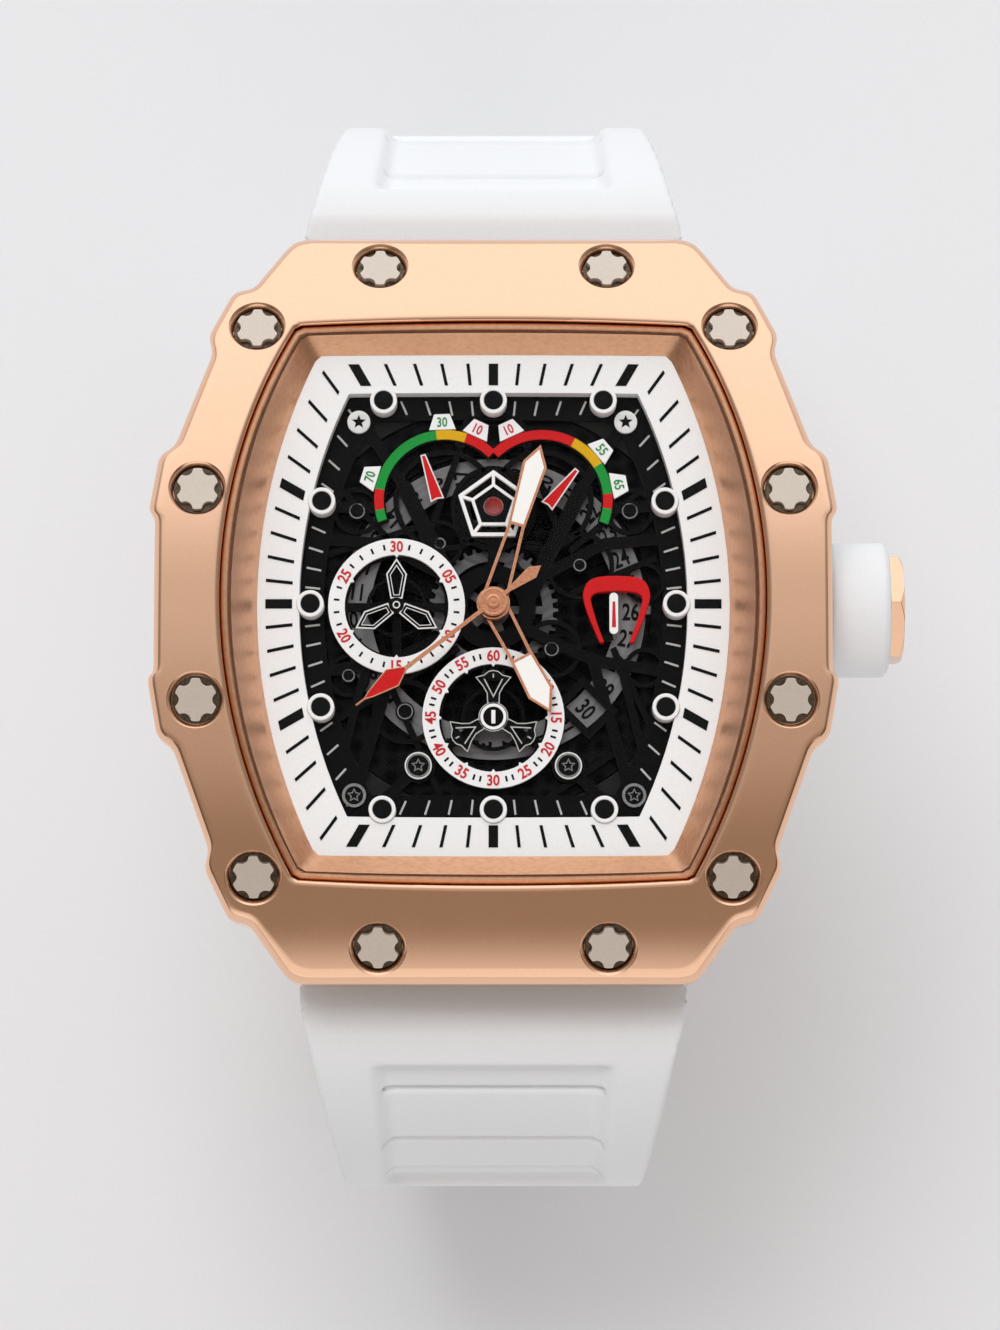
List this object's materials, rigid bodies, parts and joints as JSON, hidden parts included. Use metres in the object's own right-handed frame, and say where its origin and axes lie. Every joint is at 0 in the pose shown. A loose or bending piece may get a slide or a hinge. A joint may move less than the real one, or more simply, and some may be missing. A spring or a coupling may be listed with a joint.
{
  "type": "skeleton wristwatch",
  "caption": "Skeleton wristwatch: tonneau rose-gold bezel with visible screws, openworked dial, hexagonal crown and white rubber strap on a folding clasp.",
  "frame": {"origin": "centre of the case back's outer face, below the hands' axis", "axes": "+Z out of the dial, +Y towards 12 o'clock, +X towards the crown"},
  "size_m": [0.0476, 0.072, 0.0635],
  "materials": {
    "rose_polished": "polished rose gold plating",
    "rose_brushed": "brushed rose gold plating",
    "screw_steel": "polished steel",
    "movement_steel": "satin steel",
    "crystal": "clear mineral glass",
    "black_rubber": "matt black rubber",
    "white_resin": "white resin",
    "white_rubber": "matt white silicone",
    "board_green": "circuit board lacquer",
    "copper": "copper winding",
    "dial_black": "satin black",
    "dial_white": "satin white lacquer",
    "gauge_green": "green lacquer",
    "gauge_yellow": "yellow lacquer",
    "gauge_red": "red lacquer",
    "jewel_red": "polished red jewel",
    "date_grey": "satin silver",
    "wheel_grey": "satin nickel",
    "lume_white": "luminous white"
  },
  "bodies": {
    "case": {"bezel": "rose_polished", "bezel_screws": "screw_steel", "crystal": "crystal", "crystal_gasket": "black_rubber", "inner_ring": "rose_brushed", "case_middle": "white_resin", "case_back": "rose_brushed", "case_back_gasket": "black_rubber", "case_back_screws": "screw_steel", "movement_holder": "white_resin", "main_plate": "movement_steel", "battery_cell": "movement_steel", "circuit_board": "board_green", "drive_coil": "copper", "train_bridge": "dial_black", "dial_plate": "dial_black", "dial_screws": "screw_steel", "dial_flange": "dial_white", "minute_ticks": "dial_black", "hour_posts": "dial_white", "counter_ring": "dial_white", "seconds_ring": "dial_white", "gauge_green": "gauge_green", "gauge_yellow": "gauge_yellow", "gauge_red": "gauge_red", "gauge_labels": "dial_white", "gauge_pointers": "gauge_red", "pentagon_bridge": "dial_white", "jewel": "jewel_red", "indicator_frame": "gauge_red", "indicator_pointer": "dial_white", "crown_tube": "rose_brushed", "strap_upper": "white_rubber", "lug_bars": "movement_steel", "spring_bar_upper": "movement_steel", "clasp_base": "rose_brushed", "base_pin": "movement_steel"},
    "strap": {"strap_lower": "white_rubber", "spring_bar_lower": "movement_steel"},
    "blade": {"clasp_blade": "rose_brushed", "blade_pin": "movement_steel"},
    "cover": {"clasp_cover": "rose_polished", "button_springs": "movement_steel"},
    "left_button": {"button_left": "rose_polished"},
    "right_button": {"button_right": "rose_polished"},
    "crown_seal": {"crown_gasket": "black_rubber"},
    "crown": {"crown_stem": "movement_steel", "crown_sleeve": "white_rubber", "crown_cap": "rose_polished"},
    "minutes": {"minute_hand": "rose_polished", "minute_lume": "lume_white", "centre_wheel": "wheel_grey"},
    "hours": {"hour_hand": "rose_polished", "hour_lume": "lume_white"},
    "wheel": {"upper_wheel": "wheel_grey"},
    "chrono": {"chrono_hand": "rose_polished", "chrono_tip": "gauge_red"},
    "counter": {"counter_hand": "dial_white"},
    "seconds": {"small_seconds_hand": "dial_black"},
    "date": {"date_ring": "date_grey"}
  },
  "joints": [
    {"name": "strap_swing", "type": "hinge", "parent": "case", "child": "strap", "pos_m": [0, -0.021, -0.002], "axis": [-1, 0, 0], "range_deg": [0, 25]},
    {"name": "blade_fold", "type": "hinge", "parent": "case", "child": "blade", "pos_m": [0, -0.01388, -0.0446], "axis": [-1, 0, 0], "range_deg": [0, 108]},
    {"name": "cover_fold", "type": "hinge", "parent": "blade", "child": "cover", "pos_m": [0, 0.01191, -0.04691], "axis": [1, 0, 0], "range_deg": [0, 48.5]},
    {"name": "left_press", "type": "slide", "parent": "cover", "child": "left_button", "axis": [1, 0, 0], "range_m": [0, 0.0006], "stiffness_N_per_m": 150, "springref_m": -0.0004},
    {"name": "right_press", "type": "slide", "parent": "cover", "child": "right_button", "axis": [-1, 0, 0], "range_m": [0, 0.0006], "stiffness_N_per_m": 150, "springref_m": -0.0004},
    {"name": "crown_pull", "type": "slide", "parent": "case", "child": "crown_seal", "axis": [1, 0, 0], "range_m": [0, 0.0012]},
    {"name": "crown_turn", "type": "hinge", "parent": "crown_seal", "child": "crown", "pos_m": [0.022, 0, 0.0052], "axis": [1, 0, 0], "continuous": true},
    {"name": "minute_turn", "type": "hinge", "parent": "case", "child": "minutes", "pos_m": [0, 0, 0.0082], "axis": [0, 0, -1], "continuous": true},
    {"name": "hour_turn", "type": "hinge", "parent": "case", "child": "hours", "pos_m": [0, 0, 0.0077], "axis": [0, 0, -1], "continuous": true},
    {"name": "wheel_turn", "type": "hinge", "parent": "case", "child": "wheel", "pos_m": [0, 0.0064, 0.0052], "axis": [0, 0, -1], "continuous": true},
    {"name": "chrono_turn", "type": "hinge", "parent": "case", "child": "chrono", "pos_m": [0, 0, 0.0088], "axis": [0, 0, -1], "continuous": true},
    {"name": "counter_turn", "type": "hinge", "parent": "case", "child": "counter", "pos_m": [-0.00615, 0, 0.0075], "axis": [0, 0, -1], "continuous": true},
    {"name": "seconds_turn", "type": "hinge", "parent": "case", "child": "seconds", "pos_m": [0, -0.00716, 0.0075], "axis": [0, 0, -1], "continuous": true},
    {"name": "date_turn", "type": "hinge", "parent": "case", "child": "date", "pos_m": [0, 0, 0.0058], "axis": [0, 0, -1], "continuous": true}
  ],
  "couplings": [
    {"joint": "blade_fold", "follows": "strap_swing", "ratio": 4.318},
    {"joint": "cover_fold", "follows": "strap_swing", "ratio": 1.934},
    {"joint": "hour_turn", "follows": "minute_turn", "ratio": 0.083333},
    {"joint": "wheel_turn", "follows": "minute_turn", "ratio": -1.6667},
    {"joint": "counter_turn", "follows": "chrono_turn", "ratio": 0.033333}
  ]
}
